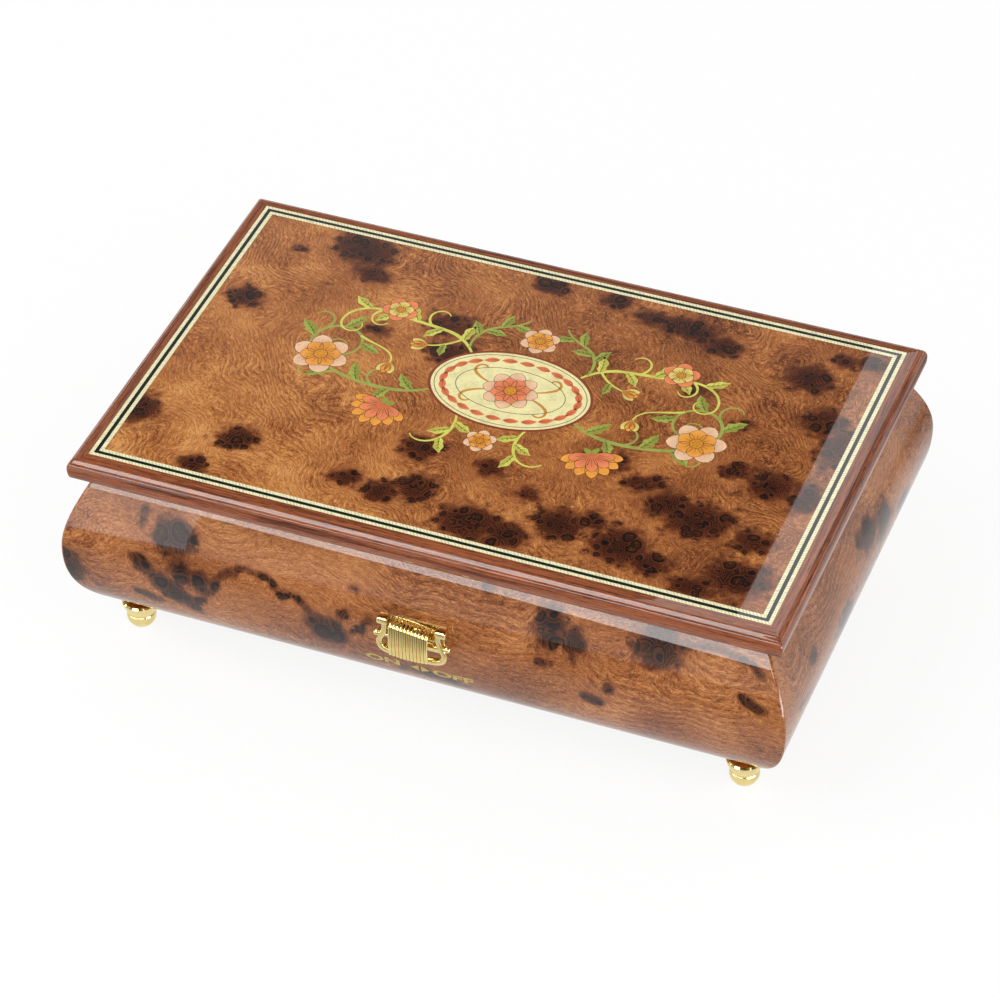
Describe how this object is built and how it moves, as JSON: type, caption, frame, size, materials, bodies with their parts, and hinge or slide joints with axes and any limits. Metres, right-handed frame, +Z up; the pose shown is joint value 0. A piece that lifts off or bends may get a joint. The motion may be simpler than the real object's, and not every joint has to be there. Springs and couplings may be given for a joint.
{
  "type": "musical box",
  "caption": "Inlaid wooden musical box with swelling sides, hinged lid, brass ball feet, lyre-shaped lever and a cylinder movement under glass.",
  "frame": {"origin": "on the table, under the middle of the whole box, lever included", "axes": "+X right along the front, +Y from the front to the hinges, +Z up; the lever faces -Y"},
  "size_m": [0.31, 0.2088, 0.098],
  "materials": {
    "burl_veneer": "figured burl veneer under clear high-gloss lacquer",
    "rosewood": "reddish straight-grained moulding under high-gloss lacquer",
    "pale_line": "pale stringing under high-gloss lacquer",
    "black_line": "black stringing under high-gloss lacquer",
    "marquetry": "dyed veneers inlaid flush under high-gloss lacquer",
    "inner_wood": "plain satin wood",
    "felt": "short dark blue felt",
    "glass": "clear polished pane",
    "brass": "polished and lacquered",
    "steel": "ground and polished"
  },
  "bodies": {
    "case": {"front_panel": "burl_veneer", "back_panel": "burl_veneer", "left_panel": "burl_veneer", "right_panel": "burl_veneer", "base_board": "inner_wood", "partition_left": "inner_wood", "partition_right": "inner_wood", "well_felt_left": "felt", "well_felt_right": "felt", "glass_cover": "glass", "foot_front_left": "brass", "foot_front_right": "brass", "foot_rear_left": "brass", "foot_rear_right": "brass", "hinge_left_case_leaf": "brass", "hinge_right_case_leaf": "brass", "slot_plate": "brass", "bedplate": "brass", "bracket_left": "brass", "bracket_right": "brass", "governor_plate": "brass", "governor_frame": "brass", "comb_base": "brass", "barrel_cock": "brass", "hinge_left_pin": "steel", "hinge_right_pin": "steel", "comb": "steel", "comb_screw_left": "steel", "comb_screw_middle": "steel", "comb_screw_right": "steel"},
    "lid": {"lid_board": "inner_wood", "lid_frame_front": "rosewood", "lid_frame_back": "rosewood", "lid_frame_left": "rosewood", "lid_frame_right": "rosewood", "lid_outer_line": "pale_line", "lid_black_line": "black_line", "lid_inner_line": "pale_line", "lid_burl_panel": "burl_veneer", "lid_marquetry": "marquetry", "lid_lining": "felt", "hinge_left_lid_leaf": "brass", "hinge_right_lid_leaf": "brass"},
    "lever": {"lyre_frame": "brass", "lyre_crossbar": "brass", "lyre_strings": "brass", "stop_slide": "steel"},
    "cylinder": {"cylinder": "brass", "cylinder_arbor": "steel", "cylinder_wheel": "brass"},
    "barrel": {"spring_barrel": "brass", "barrel_cover": "brass", "mainspring": "steel"},
    "governor": {"governor_arbor": "steel", "worm_wheel": "brass"},
    "fan": {"fan_worm": "steel"},
    "winder": {"winding_arbor": "steel", "winding_key": "brass"}
  },
  "joints": [
    {"name": "lid_hinge", "type": "hinge", "parent": "case", "child": "lid", "pos_m": [0, 0.09585, 0.08845], "axis": [-1, 0, 0], "range_deg": [0, 95]},
    {"name": "lever_slide", "type": "slide", "parent": "case", "child": "lever", "axis": [1, 0, 0], "range_m": [-0.0044, 0]},
    {"name": "cylinder_spin", "type": "hinge", "parent": "case", "child": "cylinder", "pos_m": [0, 0.01255, 0.0456], "axis": [1, 0, 0], "continuous": true},
    {"name": "barrel_spin", "type": "hinge", "parent": "case", "child": "barrel", "pos_m": [-0.07, 0.01255, 0.0236], "axis": [0, 0, 1], "continuous": true},
    {"name": "governor_spin", "type": "hinge", "parent": "case", "child": "governor", "pos_m": [0.079, -0.0092, 0.0456], "axis": [1, 0, 0], "continuous": true},
    {"name": "fan_spin", "type": "hinge", "parent": "case", "child": "fan", "pos_m": [0.079, -0.0193, 0.0456], "axis": [0, 0, 1], "continuous": true},
    {"name": "winding_turn", "type": "hinge", "parent": "case", "child": "winder", "pos_m": [-0.07, 0.01255, 0.0136], "axis": [0, 0, 1], "continuous": true}
  ],
  "couplings": [
    {"joint": "barrel_spin", "follows": "cylinder_spin", "ratio": 0.33333},
    {"joint": "governor_spin", "follows": "cylinder_spin", "ratio": -5},
    {"joint": "fan_spin", "follows": "cylinder_spin", "ratio": -75}
  ]
}
